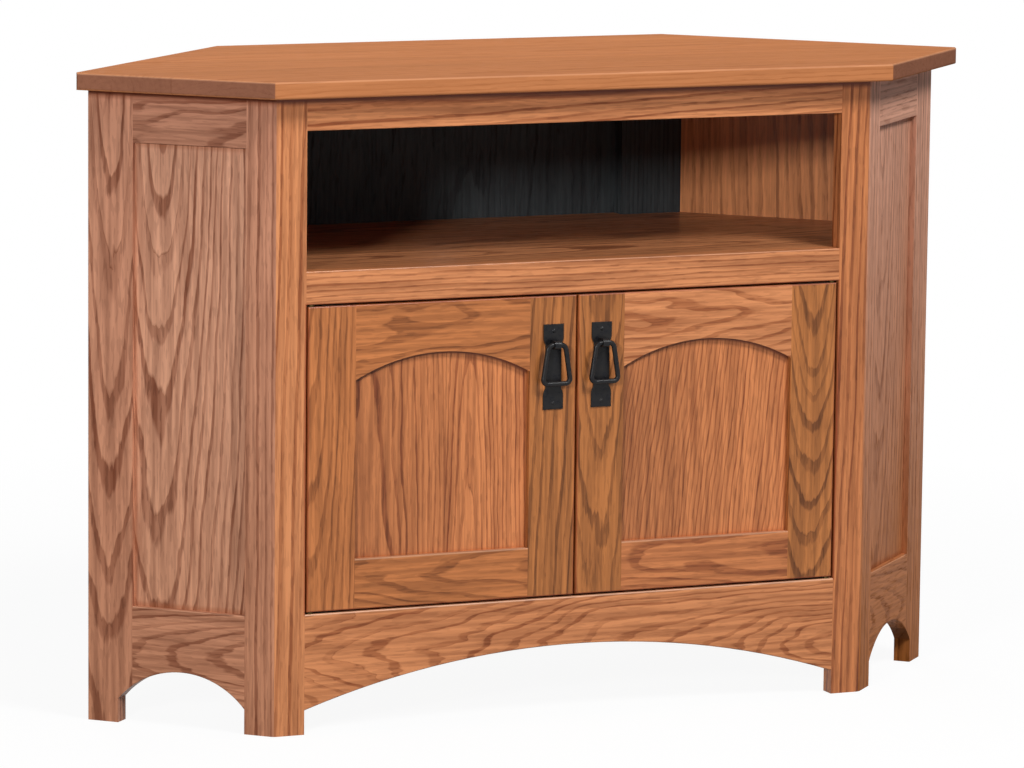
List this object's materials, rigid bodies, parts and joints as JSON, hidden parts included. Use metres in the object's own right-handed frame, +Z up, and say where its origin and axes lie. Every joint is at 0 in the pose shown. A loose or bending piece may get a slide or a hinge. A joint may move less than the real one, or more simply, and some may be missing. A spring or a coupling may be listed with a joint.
{
  "type": "corner cabinet",
  "caption": "Oak corner cabinet for a television, with an open bay over a pair of arched panel doors, canted panelled sides and an arched base.",
  "frame": {"origin": "middle of the footprint's box, on the floor", "axes": "+X to the right of a viewer in front, +Y to the back, into the room's corner, +Z up"},
  "size_m": [1.116, 0.4436, 0.75],
  "materials": {
    "oak_top": "stained oak under satin lacquer",
    "oak_frame": "stained oak under satin lacquer",
    "oak_panel": "stained oak under satin lacquer",
    "oak_back": "stained oak-faced board",
    "oak_inside": "stained oak under satin lacquer",
    "black_iron": "matt black over iron",
    "plated_steel": "zinc-plated steel",
    "screw_steel": "bright steel",
    "washer_brass": "plain brass",
    "catch_plastic": "dark brown moulding"
  },
  "bodies": {
    "cabinet": {"top_board": "oak_top", "left_front_stile": "oak_frame", "right_front_stile": "oak_frame", "front_top_rail": "oak_frame", "middle_rail": "oak_frame", "bottom_rail": "oak_frame", "left_side_front_stile": "oak_frame", "left_side_back_stile": "oak_frame", "left_side_top_rail": "oak_frame", "left_side_bottom_rail": "oak_frame", "left_side_panel": "oak_panel", "right_side_front_stile": "oak_frame", "right_side_back_stile": "oak_frame", "right_side_top_rail": "oak_frame", "right_side_bottom_rail": "oak_frame", "right_side_panel": "oak_panel", "back_left_panel": "oak_back", "back_center_panel": "oak_back", "back_right_panel": "oak_back", "left_rear_post": "oak_inside", "right_rear_post": "oak_inside", "rear_rails": "oak_inside", "bottom_deck": "oak_inside", "shelf_deck": "oak_inside", "deck_cleats": "oak_inside", "top_cleats": "oak_inside", "cleat_screws": "screw_steel", "back_screws": "screw_steel", "shelf_pins": "plated_steel", "hinge_frame_leaves": "plated_steel", "hinge_frame_screws": "screw_steel", "hinge_washers": "washer_brass", "catch_block": "oak_inside", "magnetic_catches": "catch_plastic", "catch_screws": "screw_steel"},
    "left_door": {"left_door_hinge_stile": "oak_frame", "left_door_lock_stile": "oak_frame", "left_door_top_rail": "oak_frame", "left_door_bottom_rail": "oak_frame", "left_door_panel": "oak_panel", "left_door_hinge_leaves": "plated_steel", "left_door_strike": "plated_steel", "left_door_screws": "screw_steel", "left_pull_plate": "black_iron", "left_pull_knuckle": "black_iron", "left_pull_nails": "black_iron"},
    "right_door": {"right_door_hinge_stile": "oak_frame", "right_door_lock_stile": "oak_frame", "right_door_top_rail": "oak_frame", "right_door_bottom_rail": "oak_frame", "right_door_panel": "oak_panel", "right_door_hinge_leaves": "plated_steel", "right_door_strike": "plated_steel", "right_door_screws": "screw_steel", "right_pull_plate": "black_iron", "right_pull_knuckle": "black_iron", "right_pull_nails": "black_iron"},
    "left_bail": {"left_pull_bail": "black_iron"},
    "right_bail": {"right_pull_bail": "black_iron"},
    "loose_shelf": {"adjustable_shelf": "oak_inside"}
  },
  "joints": [
    {"name": "left_door_hinge", "type": "hinge", "parent": "cabinet", "child": "left_door", "pos_m": [-0.327, -0.1858, 0.1415], "axis": [0, 0, -1], "range_deg": [0, 105]},
    {"name": "right_door_hinge", "type": "hinge", "parent": "cabinet", "child": "right_door", "pos_m": [0.327, -0.1858, 0.1415], "axis": [0, 0, 1], "range_deg": [0, 105]},
    {"name": "left_bail_swing", "type": "hinge", "parent": "left_door", "child": "left_bail", "pos_m": [-0.03025, -0.2018, 0.436], "axis": [-1, 0, 0], "range_deg": [-7, 95]},
    {"name": "right_bail_swing", "type": "hinge", "parent": "right_door", "child": "right_bail", "pos_m": [0.03025, -0.2018, 0.436], "axis": [-1, 0, 0], "range_deg": [-7, 95]},
    {"name": "loose_shelf_lift", "type": "slide", "parent": "cabinet", "child": "loose_shelf", "axis": [0, 0, 1], "range_m": [0, 0.025]}
  ]
}
